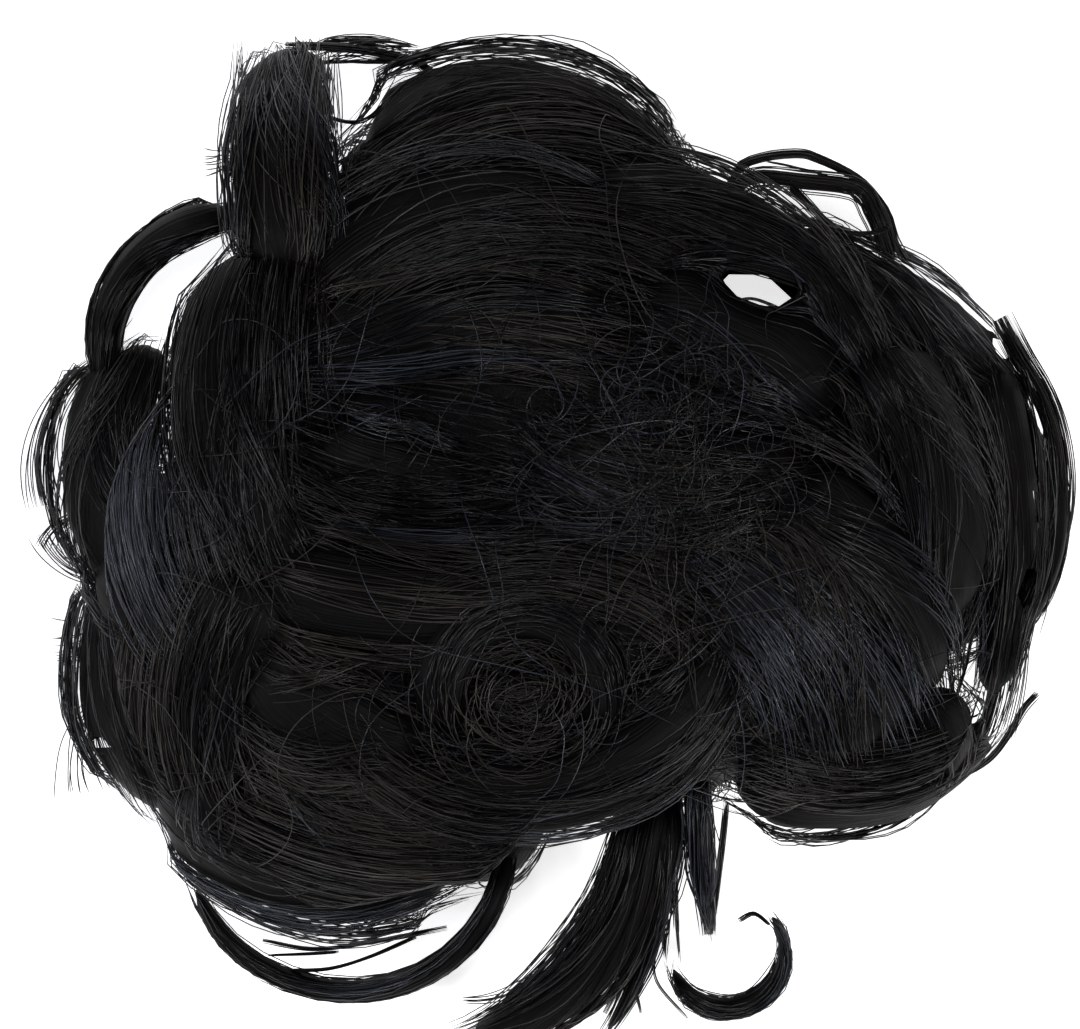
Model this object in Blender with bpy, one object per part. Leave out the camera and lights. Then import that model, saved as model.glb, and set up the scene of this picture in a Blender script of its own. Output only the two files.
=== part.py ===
"""Messy bun hairpiece: curled locks fused to a hollow dome, a sewn weft ring and an elastic band.

Metres, +Z up. The bun lies face up, and its origin is under the middle of its box.
In plan, +X is the bun's right side and +Y its top, as seen from above.
"""

import math
from collections import namedtuple

import bmesh
import bpy
from mathutils import Matrix, Vector

# The bun as a whole
BUN_WIDTH = 0.176  # across the curls, left to right
CROWN_HEIGHT = 0.057  # floor to the middle of the highest locks
EDGE_HEIGHT = 0.012  # floor to the middle of the outermost locks
CROWN_SPREAD = 1.05  # how far out the crown comes down to the edge's height, in the bun's radii
CROWN_FLATNESS = 1.6  # 1 gives a pointed crown, and more a flatter one
LOCK_WIDTH = 0.026  # a full lock, across
LOCK_THICKNESS = 0.0135  # a full lock, front to back

# How a lock fills out along its length, as shares of its width and of its length
ROOT_WIDTH = 0.6
ROOT_LENGTH = 0.25  # where it has reached its full width
TIP_START = 0.55  # where it starts to narrow to its tip
END_WIDTH = 0.35
END_LENGTH = 0.12  # how much of each end rounds off
LOCK_SIDES = 8
THIN_LOCK_SIDES = 6
THIN_LOCK = 0.3  # a lock under this share of a full one is thin

# The dent left of the middle, where the curls turn in
DENT_DEPTH = 0.013
DENT_RADIUS = 0.024
DENT_X, DENT_Y = -0.29, 0.15  # shares of the bun's radius

# The gap between the curls at the upper right, through which the floor shows
GAP_LENGTH = 0.013
GAP_WIDTH = 0.0075
GAP_TURN = -0.26  # radians
GAP_X, GAP_Y = 0.389, 0.463  # shares of the bun's radius
GAP_SIDES = 12

# The ring under the hair
ELASTIC_BORE = 0.036  # unstretched
ELASTIC_WIDTH = 0.0055
ELASTIC_HEIGHT = 0.006
ELASTIC_LIFT = 0.0008  # floor to the elastic's underside
WEFT_WIDTH = 0.009
WEFT_HEIGHT = 0.008
WEFT_SHOULDER = 0.7  # the share of its height at which its top starts to round
WEFT_ROUNDING = 0.22  # the share of its width that the rounding takes on each side
SEAM_GAP = 0.0003  # between neighbours that are sewn together

# The hollow that the wearer's own bun fills
HOLLOW_WALL_STEP = 0.001  # the hair starts this far outside the elastic
ROOF_THICKNESS = 0.014  # hair left over the hollow, under the dent
UNDERSIDE_SHARE = 0.7  # the dome's underside, as a share of the height of the locks that lie on the floor
RIM_ROUNDNESS = 5  # how late the dome's top and underside turn towards each other at its rim

# The short locks that spread over the floor from the ring
SKIRT_COUNT = 15
SKIRT_HEIGHT = 0.0055  # floor to the middle of a lock that lies on it
SKIRT_WIDTH = 0.020
SKIRT_TOP = 0.034  # floor to the end of a lock that has curled up
SKIRT_TIP = 0.6  # the share of its width left at that end
SKIRT_TOP_SWING = 0.12  # the share of that by which every second lock is higher and the rest lower
SKIRT_LEAN = 0.22  # radians that the curl drifts sideways on its way up
FLOOR_TRIM = 0.0005  # what the floor takes off the underside of a lock that lies on it

BUN_RADIUS = BUN_WIDTH / 2
RING_SIDES = 32
HEAD_SIDES = 36
WELD = 0.00002  # edges shorter than this are joined into one point
SPECK = 1e-11  # cubic metres: a shell that holds less is a scrap left by the fusing

# How far the dome behind the locks reaches, by direction, as shares of the bun's radius
Reach = namedtuple("Reach", "degrees share")
DOME_OUTLINE = [
    Reach(0, 0.80),
    Reach(30, 0.76),
    Reach(60, 0.66),
    Reach(90, 0.76),
    Reach(120, 0.76),
    Reach(150, 0.70),
    Reach(180, 0.80),
    Reach(210, 0.84),
    Reach(235, 0.80),
    Reach(255, 0.64),
    Reach(270, 0.47),
    Reach(290, 0.48),
    Reach(310, 0.64),
    Reach(330, 0.82),
]

# A skirt lock's curl: how far out from the ring it is as a share of the dome's reach, how far up as a share
# of its top, and how much its upper face has turned inward
Curl = namedtuple("Curl", "reach rise inward")
SKIRT_CURL = [
    Curl(0.00, 0.00, 0.0),
    Curl(0.45, -0.02, 0.0),
    Curl(0.85, 0.00, 0.3),
    Curl(1.05, 0.30, 0.8),
    Curl(1.05, 0.70, 0.9),
    Curl(0.84, 1.00, 0.6),
]

# Each lock runs along an arc from (x0, y0) to (x1, y1), in shares of the bun's radius. bow is how far the
# arc's middle stands off its chord, as a share of the chord, to the left where positive. rise is the
# height of the lock's middle as a share of the crown's height there. width and thick are shares of a
# full lock, and tip is the width left at the far end.
Lock = namedtuple("Lock", "name x0 y0 x1 y1 bow rise0 rise1 width thick tip")
LOCKS = [
    # The top
    Lock("crown", -0.384, 0.661, 0.20, 0.58, 0.29, 0.90, 0.90, 1.12, 1.00, 0.7),
    Lock("crown inner", -0.50, 0.38, 0.18, 0.47, 0.26, 1.00, 1.00, 0.90, 1.00, 0.6),
    Lock("ear", -0.47, 0.44, -0.52, 0.945, 0.05, 1.00, 1.60, 0.74, 0.80, 0.9),
    Lock("ear strand", -0.50, 0.925, -0.26, 0.915, 0.04, 1.50, 1.05, 0.13, 0.30, 0.7),
    Lock("ring top", -0.04, 0.62, 0.62, 0.22, 0.20, 0.98, 1.04, 0.66, 1.00, 0.6),
    Lock("over the dent", -0.54, 0.30, 0.17, 0.36, 0.08, 1.02, 1.03, 0.70, 0.80, 0.5),
    # The right
    Lock("upper right", 0.28, 0.52, 0.92, 0.24, 0.09, 0.85, 0.85, 0.70, 0.90, 0.6),
    Lock("upper right loop", 0.32, 0.66, 0.65, 0.49, 0.27, 0.90, 0.85, 0.13, 0.25, 0.9),
    Lock("ring right", 0.56, 0.39, 0.72, -0.22, 0.13, 1.04, 1.03, 0.85, 1.00, 0.6),
    Lock("right", 0.80, 0.40, 0.84, -0.36, 0.07, 0.87, 0.80, 0.46, 1.00, 0.6),
    Lock("right band", 0.82, 0.34, 0.84, -0.24, 0.23, 0.85, 0.82, 0.22, 0.60, 0.8),
    Lock("right inner", 0.39, 0.10, 0.72, -0.33, 0.12, 1.03, 1.00, 0.75, 0.80, 0.6),
    Lock("fan", 0.26, -0.04, 0.60, -0.46, 0.10, 1.03, 1.00, 1.10, 0.90, 0.8),
    Lock("lower right", 0.32, -0.45, 0.87, -0.37, -0.14, 0.75, 0.70, 0.72, 1.00, 0.5),
    # The middle
    Lock("ring inner", 0.12, 0.42, 0.54, 0.22, 0.14, 1.02, 1.02, 0.75, 0.70, 0.6),
    Lock("tangle", -0.08, 0.19, 0.52, 0.12, -0.10, 1.02, 1.03, 0.85, 0.70, 0.6),
    Lock("under the dent", -0.62, -0.05, 0.14, -0.05, -0.12, 1.00, 1.03, 0.75, 0.80, 0.6),
    Lock("swirl", -0.16, -0.41, 0.02, -0.42, 1.45, 1.03, 1.03, 0.50, 0.80, 0.8),
    Lock("swirl heart", -0.13, -0.30, 0.01, -0.30, -0.10, 1.00, 1.00, 0.50, 0.90, 0.9),
    Lock("under the swirl", -0.32, -0.43, 0.35, -0.12, -0.27, 0.98, 1.03, 0.62, 0.90, 0.5),
    Lock("bottom middle", -0.49, -0.49, 0.25, -0.45, -0.02, 0.90, 0.90, 0.70, 1.00, 0.7),
    # The left
    Lock("left inner", -0.54, 0.57, -0.44, -0.12, -0.20, 0.98, 1.02, 0.85, 0.90, 0.6),
    Lock("left middle", -0.56, -0.20, -0.24, -0.42, -0.14, 1.01, 1.01, 0.80, 0.80, 0.6),
    Lock("in the dent", -0.47, 0.20, -0.12, 0.10, -0.06, 1.00, 1.00, 0.55, 0.60, 0.5),
    Lock("left arch", -0.58, 0.60, -0.84, 0.24, -0.31, 1.00, 0.95, 0.34, 0.50, 0.7),
    Lock("left", -0.77, 0.37, -0.75, -0.15, -0.22, 0.80, 0.75, 0.85, 0.90, 0.6),
    Lock("lower left inner", -0.52, -0.04, -0.64, -0.56, -0.10, 1.02, 0.95, 0.85, 0.90, 0.6),
    Lock("lower left", -0.77, -0.05, -0.76, -0.55, -0.13, 0.65, 0.75, 0.98, 1.00, 0.6),
    # The bottom
    Lock("bottom left", -0.78, -0.44, -0.16, -0.60, -0.19, 0.80, 0.80, 1.02, 1.00, 0.7),
    Lock("bottom left inner", -0.50, -0.40, -0.17, -0.61, -0.10, 1.00, 0.90, 0.66, 0.80, 0.6),
    Lock("bottom loop", -0.72, -0.65, -0.09, -0.54, -0.475, 0.90, 0.60, 0.16, 0.35, 0.9),
    Lock("tail", 0.20, -0.42, -0.20, -1.01, 0.18, 0.65, 0.90, 0.48, 0.80, 0.7),
    Lock("tail side", 0.20, -0.44, 0.085, -1.00, 0.10, 0.62, 0.85, 0.16, 0.36, 0.4),
    Lock("short end", 0.27, -0.42, 0.306, -0.785, -0.03, 0.75, 0.80, 0.20, 0.40, 0.35),
    Lock("hook shank", 0.225, -0.46, 0.2255, -0.84, -0.03, 0.50, 0.80, 0.12, 0.25, 0.9),
    Lock("hook", 0.2255, -0.83, 0.40, -0.728, -0.77, 0.80, 0.80, 0.14, 0.26, 0.5),
]


def smooth(value):
    value = min(max(value, 0.0), 1.0)
    return value * value * (3 - 2 * value)


def crown_height(x, y):
    """The height of the middle of a lock that lies on the crown, at a place in the bun's radii."""
    reach = min(math.hypot(x, y) / CROWN_SPREAD, 1.0)
    dome = EDGE_HEIGHT + (CROWN_HEIGHT - EDGE_HEIGHT) * math.cos(math.pi / 2 * reach**CROWN_FLATNESS)
    away = math.hypot(x - DENT_X, y - DENT_Y) * BUN_RADIUS / DENT_RADIUS
    return dome - DENT_DEPTH * smooth(1 - away)


def crown_normal(x, y):
    step = 0.02
    slope_x = (crown_height(x + step, y) - crown_height(x - step, y)) / (2 * step * BUN_RADIUS)
    slope_y = (crown_height(x, y + step) - crown_height(x, y - step)) / (2 * step * BUN_RADIUS)
    return Vector((-slope_x, -slope_y, 1)).normalized()


def dome_reach(angle):
    """The dome's reach in a direction, eased between the rows of its outline."""
    degrees = math.degrees(angle) % 360
    rows = DOME_OUTLINE + [Reach(360, DOME_OUTLINE[0].share)]
    for low, high in zip(rows, rows[1:]):
        if degrees <= high.degrees:
            part = smooth((degrees - low.degrees) / (high.degrees - low.degrees))
            return (low.share + (high.share - low.share) * part) * BUN_RADIUS
    return rows[-1].share * BUN_RADIUS


def arc_points(start, end, bow, count):
    """Points along the arc from start to end whose middle stands off the chord by bow."""
    chord = end - start
    along = chord.normalized()
    left = Vector((-along.y, along.x))
    half_turn = 2 * math.atan(2 * bow)
    radius = chord.length / (2 * math.sin(half_turn))
    centre = (start + end) / 2 - left * radius * math.cos(half_turn)
    turns = [half_turn * (2 * i / (count - 1) - 1) for i in range(count)]
    return [centre + radius * (along * math.sin(turn) + left * math.cos(turn)) for turn in turns]


def ring_mesh(name, rings, closed_ends):
    """A skin over rings of points: ends capped, or the last ring joined to the first."""
    mesh = bpy.data.meshes.new(name)
    bm = bmesh.new()
    loops = [[bm.verts.new(point) for point in ring] for ring in rings]
    sides = len(rings[0])
    pairs = list(zip(loops, loops[1:]))
    if not closed_ends:
        pairs.append((loops[-1], loops[0]))
    for low, high in pairs:
        for i in range(sides):
            j = (i + 1) % sides
            bm.faces.new((low[i], low[j], high[j], high[i]))
    if closed_ends:
        bm.faces.new(reversed(loops[0]))
        bm.faces.new(loops[-1])
    bmesh.ops.recalc_face_normals(bm, faces=bm.faces)
    bmesh.ops.triangulate(bm, faces=[face for face in bm.faces if len(face.verts) > 4])
    bm.to_mesh(mesh)
    bm.free()
    mesh.shade_smooth()
    mesh.set_sharp_from_angle(angle=math.radians(45))
    return bpy.data.objects.new(name, mesh)


def swept_lock(name, middles, normals, widths, thicks, sides):
    """A lock of oval sections: each has its middle, the way it faces, its width and its thickness."""
    rings = []
    for i, middle in enumerate(middles):
        ahead = middles[min(i + 1, len(middles) - 1)] - middles[max(i - 1, 0)]
        side = ahead.cross(normals[i]).normalized()
        up = side.cross(ahead).normalized()
        ring = []
        for k in range(sides):
            turn = 2 * math.pi * k / sides
            across = side * math.cos(turn) * widths[i] / 2
            ring.append(middle + across + up * math.sin(turn) * thicks[i] / 2)
        rings.append(ring)
    return ring_mesh(name, rings, closed_ends=True)


def fullness(t, tip):
    """The share of its full width that a lock has at t, from its root at 0 to its tip at 1."""
    root_part = ROOT_WIDTH + (1 - ROOT_WIDTH) * smooth(t / ROOT_LENGTH)
    tip_part = 1 - (1 - tip) * smooth((t - TIP_START) / (1 - TIP_START))
    from_end = min(t, 1 - t, END_LENGTH) / END_LENGTH
    end_part = END_WIDTH + (1 - END_WIDTH) * math.sqrt(1 - (1 - from_end) ** 2)
    return root_part * tip_part * end_part


def lock_object(lock):
    start = Vector((lock.x0, lock.y0))
    end = Vector((lock.x1, lock.y1))
    turn = abs(4 * math.atan(2 * lock.bow))
    count = 6 + int(3 * turn / math.pi + 3 * (end - start).length)
    plan = arc_points(start, end, lock.bow, count)
    middles, normals, widths, thicks = [], [], [], []
    for i, place in enumerate(plan):
        t = i / (count - 1)
        rise = lock.rise0 + (lock.rise1 - lock.rise0) * t
        height = crown_height(place.x, place.y) * rise
        middles.append(Vector((place.x * BUN_RADIUS, place.y * BUN_RADIUS, height)))
        normals.append(crown_normal(place.x, place.y))
        widths.append(LOCK_WIDTH * lock.width * fullness(t, lock.tip))
        thicks.append(LOCK_THICKNESS * lock.thick * fullness(t, lock.tip))
    sides = LOCK_SIDES if lock.width > THIN_LOCK else THIN_LOCK_SIDES
    return swept_lock("lock " + lock.name, middles, normals, widths, thicks, sides)


def skirt_lock(index):
    """A lock that leaves the ring along the floor and curls up round the bun's side."""
    angle = 2 * math.pi * (index + 0.5) / SKIRT_COUNT
    top = SKIRT_TOP * (1 + SKIRT_TOP_SWING * (1 if index % 2 else -1))
    middles, normals = [], []
    for reach, rise, inward in SKIRT_CURL:
        bend = angle + SKIRT_LEAN * rise * (1 if index % 3 else -1)
        direction = Vector((math.cos(bend), math.sin(bend), 0))
        radius = weft_inner() + (dome_reach(bend) - weft_inner()) * reach
        height = SKIRT_HEIGHT + (top - SKIRT_HEIGHT) * rise
        middles.append(direction * radius + Vector((0, 0, height)))
        normals.append((Vector((0, 0, 1 - inward)) - direction * inward).normalized())
    shares = [i / (len(middles) - 1) for i in range(len(middles))]
    widths = [SKIRT_WIDTH * fullness(share, SKIRT_TIP) for share in shares]
    thicks = [(SKIRT_HEIGHT + FLOOR_TRIM) * 2] * len(middles)
    return swept_lock("lock skirt %d" % index, middles, normals, widths, thicks, LOCK_SIDES)


def elastic_outer():
    return ELASTIC_BORE / 2 + ELASTIC_WIDTH


def weft_inner():
    return elastic_outer() + SEAM_GAP


def weft_outer():
    return weft_inner() + WEFT_WIDTH


def dome_object():
    """The dome behind the locks: a crowned top over a nearly flat underside."""
    rim_height = EDGE_HEIGHT
    under_height = SKIRT_HEIGHT * UNDERSIDE_SHARE
    shares_up = [0.06, 0.2, 0.4, 0.6, 0.78, 0.9, 0.97, 1.0]
    shares_under = [0.97, 0.85, 0.5, 0.1]
    rings = []
    for share in shares_up + shares_under:
        under = len(rings) >= len(shares_up)
        rounding = math.sqrt(1 - share**RIM_ROUNDNESS)
        ring = []
        for k in range(HEAD_SIDES):
            angle = 2 * math.pi * k / HEAD_SIDES
            radius = dome_reach(angle) * share
            x = radius * math.cos(angle)
            y = radius * math.sin(angle)
            far = under_height if under else crown_height(x / BUN_RADIUS, y / BUN_RADIUS)
            ring.append(Vector((x, y, rim_height + (far - rim_height) * rounding)))
        rings.append(ring)
    return ring_mesh("hair_bun", rings, closed_ends=True)


def turned(name, profile, sides=RING_SIDES):
    """A ring turned about the Z axis from a closed profile of (radius, height) points."""
    rings = []
    for k in range(sides):
        turn = Matrix.Rotation(2 * math.pi * k / sides, 3, "Z")
        rings.append([turn @ Vector((radius, 0, height)) for radius, height in profile])
    return ring_mesh(name, rings, closed_ends=False)


def disc_cutter(name, radius, low, high, across=None, sides=RING_SIDES):
    """An upright cylinder, or an oval one where its half size across differs from its radius."""
    rings = []
    for height in (low, high):
        ring = []
        for k in range(sides):
            turn = 2 * math.pi * k / sides
            ring.append(Vector((radius * math.cos(turn), (across or radius) * math.sin(turn), height)))
        rings.append(ring)
    return ring_mesh(name, rings, closed_ends=True)


def gap_cutter(low, high):
    cutter = disc_cutter("gap cutter", GAP_LENGTH / 2, low, high, GAP_WIDTH / 2, GAP_SIDES)
    cutter.location = (GAP_X * BUN_RADIUS, GAP_Y * BUN_RADIUS, 0)
    cutter.rotation_euler.z = GAP_TURN
    return cutter


def guide(obj):
    obj.hide_render = True
    obj.display_type = "WIRE"
    return obj


def boolean(obj, name, operation, operand):
    modifier = obj.modifiers.new(name, "BOOLEAN")
    modifier.operation = operation
    modifier.solver = "EXACT"
    if isinstance(operand, bpy.types.Collection):
        modifier.operand_type = "COLLECTION"
        modifier.collection = operand
    else:
        modifier.object = operand


def shell_volume(faces):
    """The volume inside triangles that face out of it, less than zero where they face into it."""
    corners = [[vertex.co for vertex in face.verts] for face in faces]
    return sum(a.dot(b.cross(c)) for a, b, c in corners) / 6


def fused(obj):
    """Applies the object's booleans, fills the pockets inside it and clears the scraps at its seams."""
    graph = bpy.context.evaluated_depsgraph_get()
    mesh = bpy.data.meshes.new_from_object(obj.evaluated_get(graph))
    obj.modifiers.clear()
    bm = bmesh.new()
    bm.from_mesh(mesh)
    bmesh.ops.triangulate(bm, faces=bm.faces)
    bmesh.ops.dissolve_degenerate(bm, dist=WELD, edges=bm.edges)
    bmesh.ops.triangulate(bm, faces=bm.faces)
    waiting = set(bm.faces)
    shells = []
    while waiting:
        start = waiting.pop()
        shell = {start}
        open_faces = [start]
        while open_faces:
            for edge in open_faces.pop().edges:
                near = set(edge.link_faces) - shell if edge.is_manifold else set()
                shell |= near
                open_faces += near
        waiting -= shell
        shells.append(shell)
    unwanted = [shell for shell in shells if len(shell) < 4 or shell_volume(shell) < SPECK]
    bmesh.ops.delete(bm, geom=[face for shell in unwanted for face in shell], context="FACES")
    bmesh.ops.holes_fill(bm, edges=[edge for edge in bm.edges if edge.is_boundary])
    bmesh.ops.triangulate(bm, faces=bm.faces)
    bm.to_mesh(mesh)
    bm.free()
    obj.data = mesh


def material(name, colour, roughness):
    mat = bpy.data.materials.new(name)
    mat.use_nodes = True
    shader = mat.node_tree.nodes["Principled BSDF"]
    shader.inputs["Base Color"].default_value = (*colour, 1)
    shader.inputs["Roughness"].default_value = roughness
    shader.inputs["Metallic"].default_value = 0
    return mat


def build_hair(scene_collection):
    hair = dome_object()
    scene_collection.objects.link(hair)
    locks = bpy.data.collections.new("locks")
    scene_collection.children.link(locks)
    for lock in LOCKS:
        locks.objects.link(guide(lock_object(lock)))
    for index in range(SKIRT_COUNT):
        locks.objects.link(guide(skirt_lock(index)))
    boolean(hair, "fuse the locks", "UNION", locks)
    bpy.context.view_layer.update()
    fused(hair)

    below = -BUN_WIDTH
    above = BUN_WIDTH
    floor = guide(disc_cutter("floor cutter", BUN_WIDTH * 2, below, 0))
    seat_height = WEFT_HEIGHT + SEAM_GAP
    seat = guide(disc_cutter("ring seat cutter", weft_outer() + SEAM_GAP, below, seat_height))
    roof = CROWN_HEIGHT - DENT_DEPTH - ROOF_THICKNESS
    hollow = guide(disc_cutter("hollow cutter", elastic_outer() + HOLLOW_WALL_STEP, below, roof))
    gap = guide(gap_cutter(below, above))
    cutters = {"trim at the floor": floor, "seat of the ring": seat, "hollow": hollow, "gap": gap}
    for name, cutter in cutters.items():
        scene_collection.objects.link(cutter)
        boolean(hair, name, "DIFFERENCE", cutter)
    bpy.context.view_layer.update()
    fused(hair)
    for helper in list(cutters.values()) + list(locks.objects):
        bpy.data.objects.remove(helper, do_unlink=True)
    bpy.data.collections.remove(locks)
    hair.data.materials.append(material("black curled hair", (0.010, 0.009, 0.009), 0.42))
    return hair


def build_weft_ring():
    """The sewn ring: flat below, rounded over the top."""
    inner, outer = weft_inner(), weft_outer()
    edge = WEFT_WIDTH * WEFT_ROUNDING
    shoulder = WEFT_HEIGHT * WEFT_SHOULDER
    profile = [
        (inner, 0),
        (outer, 0),
        (outer, shoulder),
        (outer - edge, WEFT_HEIGHT),
        (inner + edge, WEFT_HEIGHT),
        (inner, shoulder),
    ]
    ring = turned("weft_ring", profile)
    ring.data.materials.append(material("sewn black weft", (0.012, 0.011, 0.011), 0.7))
    return ring


def build_elastic_band():
    """The elastic: a ring of oval section."""
    middle = (ELASTIC_BORE + ELASTIC_WIDTH) / 2
    sides = 8
    profile = []
    for k in range(sides):
        turn = 2 * math.pi * k / sides
        height = ELASTIC_LIFT + ELASTIC_HEIGHT / 2 * (1 + math.sin(turn))
        profile.append((middle + ELASTIC_WIDTH / 2 * math.cos(turn), height))
    ring = turned("elastic_band", profile)
    ring.data.materials.append(material("black elastic", (0.015, 0.015, 0.016), 0.75))
    return ring


def world_box(objects):
    graph = bpy.context.evaluated_depsgraph_get()
    corners = []
    for obj in objects:
        evaluated = obj.evaluated_get(graph)
        corners += [vertex.co.copy() for vertex in evaluated.to_mesh().vertices]
        evaluated.to_mesh_clear()
    low = Vector([min(corner[axis] for corner in corners) for axis in range(3)])
    high = Vector([max(corner[axis] for corner in corners) for axis in range(3)])
    return low, high


def main():
    for obj in list(bpy.data.objects):
        bpy.data.objects.remove(obj, do_unlink=True)
    collection = bpy.context.scene.collection
    hair = build_hair(collection)
    rings = [build_weft_ring(), build_elastic_band()]
    for ring in rings:
        collection.objects.link(ring)
    bpy.context.view_layer.update()

    # The origin goes under the middle of the whole box
    low, high = world_box([hair] + rings)
    middle = (low + high) / 2
    origin = bpy.data.objects.new("origin", None)
    collection.objects.link(origin)
    for obj in list(bpy.data.objects):
        if obj is not origin:
            obj.parent = origin
    origin.location = (-middle.x, -middle.y, 0)
    bpy.context.view_layer.update()


main()
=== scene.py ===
import math

import bpy
import numpy as np
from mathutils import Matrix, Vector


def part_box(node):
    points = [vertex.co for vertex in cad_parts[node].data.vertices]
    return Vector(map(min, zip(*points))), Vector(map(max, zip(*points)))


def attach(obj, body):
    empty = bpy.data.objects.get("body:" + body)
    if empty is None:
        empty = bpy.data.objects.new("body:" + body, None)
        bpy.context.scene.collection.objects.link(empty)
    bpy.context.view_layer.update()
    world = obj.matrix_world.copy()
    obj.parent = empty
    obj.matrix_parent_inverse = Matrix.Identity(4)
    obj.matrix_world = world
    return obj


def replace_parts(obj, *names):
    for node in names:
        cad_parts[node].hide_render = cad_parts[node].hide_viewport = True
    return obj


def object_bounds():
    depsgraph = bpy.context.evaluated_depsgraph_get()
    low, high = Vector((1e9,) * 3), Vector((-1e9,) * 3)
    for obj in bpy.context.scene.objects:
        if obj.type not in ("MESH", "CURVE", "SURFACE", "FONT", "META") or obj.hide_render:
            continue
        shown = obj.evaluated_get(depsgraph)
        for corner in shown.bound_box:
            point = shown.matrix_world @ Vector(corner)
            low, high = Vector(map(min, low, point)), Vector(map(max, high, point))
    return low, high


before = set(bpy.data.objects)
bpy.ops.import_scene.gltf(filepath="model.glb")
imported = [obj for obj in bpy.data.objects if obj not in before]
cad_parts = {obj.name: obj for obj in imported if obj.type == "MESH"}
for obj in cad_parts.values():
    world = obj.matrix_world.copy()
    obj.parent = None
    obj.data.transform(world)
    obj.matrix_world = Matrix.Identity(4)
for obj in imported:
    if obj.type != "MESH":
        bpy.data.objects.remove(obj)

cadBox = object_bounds()
mm = 0.001
random = np.random.default_rng(41)

ringLow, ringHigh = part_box("elastic_band")
weftLow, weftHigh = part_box("weft_ring")
hairLow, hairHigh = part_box("hair_bun")
ringCentre = np.array(((ringLow.x + ringHigh.x) / 2, (ringLow.y + ringHigh.y) / 2, 0)) / mm

bun = dict(
    radius=88.0,
    crownHeight=57.0,  # floor to the middle of the highest locks
    edgeHeight=12.0,  # floor to the middle of the outermost locks
    crownSpread=1.05,  # how far out the crown comes down to the edge's height, in the bun's radii
    crownFlatness=1.6,
    dentX=-0.29,
    dentY=0.15,
    dentDepth=13.0,
    dentRadius=24.0,
    lockWidth=26.0,
    lockThickness=13.5,
    tuck=9.0,  # how far a lock's end dives under its neighbours
)

print("hairpiece: frame loaded, CAD box", [[round(value, 4) for value in corner] for corner in cadBox])


# Small helpers

def smooth(value):
    value = np.clip(value, 0, 1)
    return value * value * (3 - 2 * value)


def unit(vectors):
    return vectors / np.maximum(np.linalg.norm(vectors, axis=-1, keepdims=True), 1e-9)


def crownHeight(plan):
    reach = np.minimum(np.hypot(plan[..., 0], plan[..., 1]) / bun["crownSpread"], 1)
    fall = np.cos(math.pi / 2 * reach**bun["crownFlatness"])
    dome = bun["edgeHeight"] + (bun["crownHeight"] - bun["edgeHeight"]) * fall
    away = np.hypot(plan[..., 0] - bun["dentX"], plan[..., 1] - bun["dentY"])
    return dome - bun["dentDepth"] * smooth(1 - away * bun["radius"] / bun["dentRadius"])


def crownNormal(plan):
    step = 0.02
    slopes = []
    for axis in (0, 1):
        nudge = np.zeros(2)
        nudge[axis] = step
        rise = crownHeight(plan + nudge) - crownHeight(plan - nudge)
        slopes.append(-rise / (2 * step * bun["radius"]))
    return unit(np.stack([slopes[0], slopes[1], np.ones_like(slopes[0])], -1))


def arcPlan(x0, y0, x1, y1, bow, t):
    # points on the arc whose middle stands off its chord by bow, to the left where positive
    start, end = np.array((x0, y0)), np.array((x1, y1))
    chord = end - start
    length = np.hypot(*chord)
    along = chord / length
    left = np.array((-along[1], along[0]))
    halfTurn = 2 * math.atan(2 * bow)
    radius = length / (2 * math.sin(halfTurn))
    centre = (start + end) / 2 - left * radius * math.cos(halfTurn)
    turn = (halfTurn * (2 * t - 1))[..., None]
    return centre + radius * (along * np.sin(turn) + left * np.cos(turn))


def curveThrough(points, count):
    # a smooth curve through a few points
    points = np.asarray(points, float)
    padded = np.vstack([2 * points[0] - points[1], points, 2 * points[-1] - points[-2]])
    place = np.linspace(0, len(points) - 1, count)
    index = np.minimum(place.astype(int), len(points) - 2)
    f = (place - index)[:, None]
    p0, p1, p2, p3 = (padded[index + step] for step in range(4))
    square = (2 * p0 - 5 * p1 + 4 * p2 - p3) * f**2
    cube = (3 * p1 - p0 - 3 * p2 + p3) * f**3
    return 0.5 * (2 * p1 + (p2 - p0) * f + square + cube)


def readAt(values, t):
    # values given at even steps from 0 to 1, read at t
    place = np.clip(t, 0, 1) * (len(values) - 1)
    low = np.minimum(place.astype(int), len(values) - 2)
    share = place - low
    if values.ndim > 1:
        share = share[..., None]
    return values[low] * (1 - share) + values[low + 1] * share


def waver(count, steps, waves):
    # a slow sideways wander for each fibre, about 1 at its largest
    s = np.linspace(0, 1, steps)
    total = np.zeros((count, steps))
    for wave in (1, 2):
        phase = random.uniform(0, 2 * math.pi, (count, 1))
        turns = random.uniform(0.5, 1, (count, 1)) * waves * wave
        total += np.sin(2 * math.pi * turns * s + phase) / wave
    return total * 0.6


# Materials

def hexColour(text):
    parts = [int(text[i:i + 2], 16) / 255 for i in (1, 3, 5)]
    return (*[c / 12.92 if c <= 0.04045 else ((c + 0.055) / 1.055) ** 2.4 for c in parts], 1)


def addNode(tree, kind, inputs=None, **settings):
    node = tree.nodes.new(kind)
    for name, value in settings.items():
        setattr(node, name, value)
    for name, value in (inputs or {}).items():
        if isinstance(value, bpy.types.NodeSocket):
            tree.links.new(value, node.inputs[name])
        else:
            node.inputs[name].default_value = value
    return node


def newMaterial(name):
    material = bpy.data.materials.new(name)
    material.use_nodes = True
    tree = material.node_tree
    return material, tree, tree.nodes["Principled BSDF"]


def setRamp(node, stops):
    ramp = node.color_ramp
    while len(ramp.elements) < len(stops):
        ramp.elements.new(0.5)
    for element, (position, colour) in zip(ramp.elements, stops):
        element.position = position
        element.color = hexColour(colour)


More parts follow.
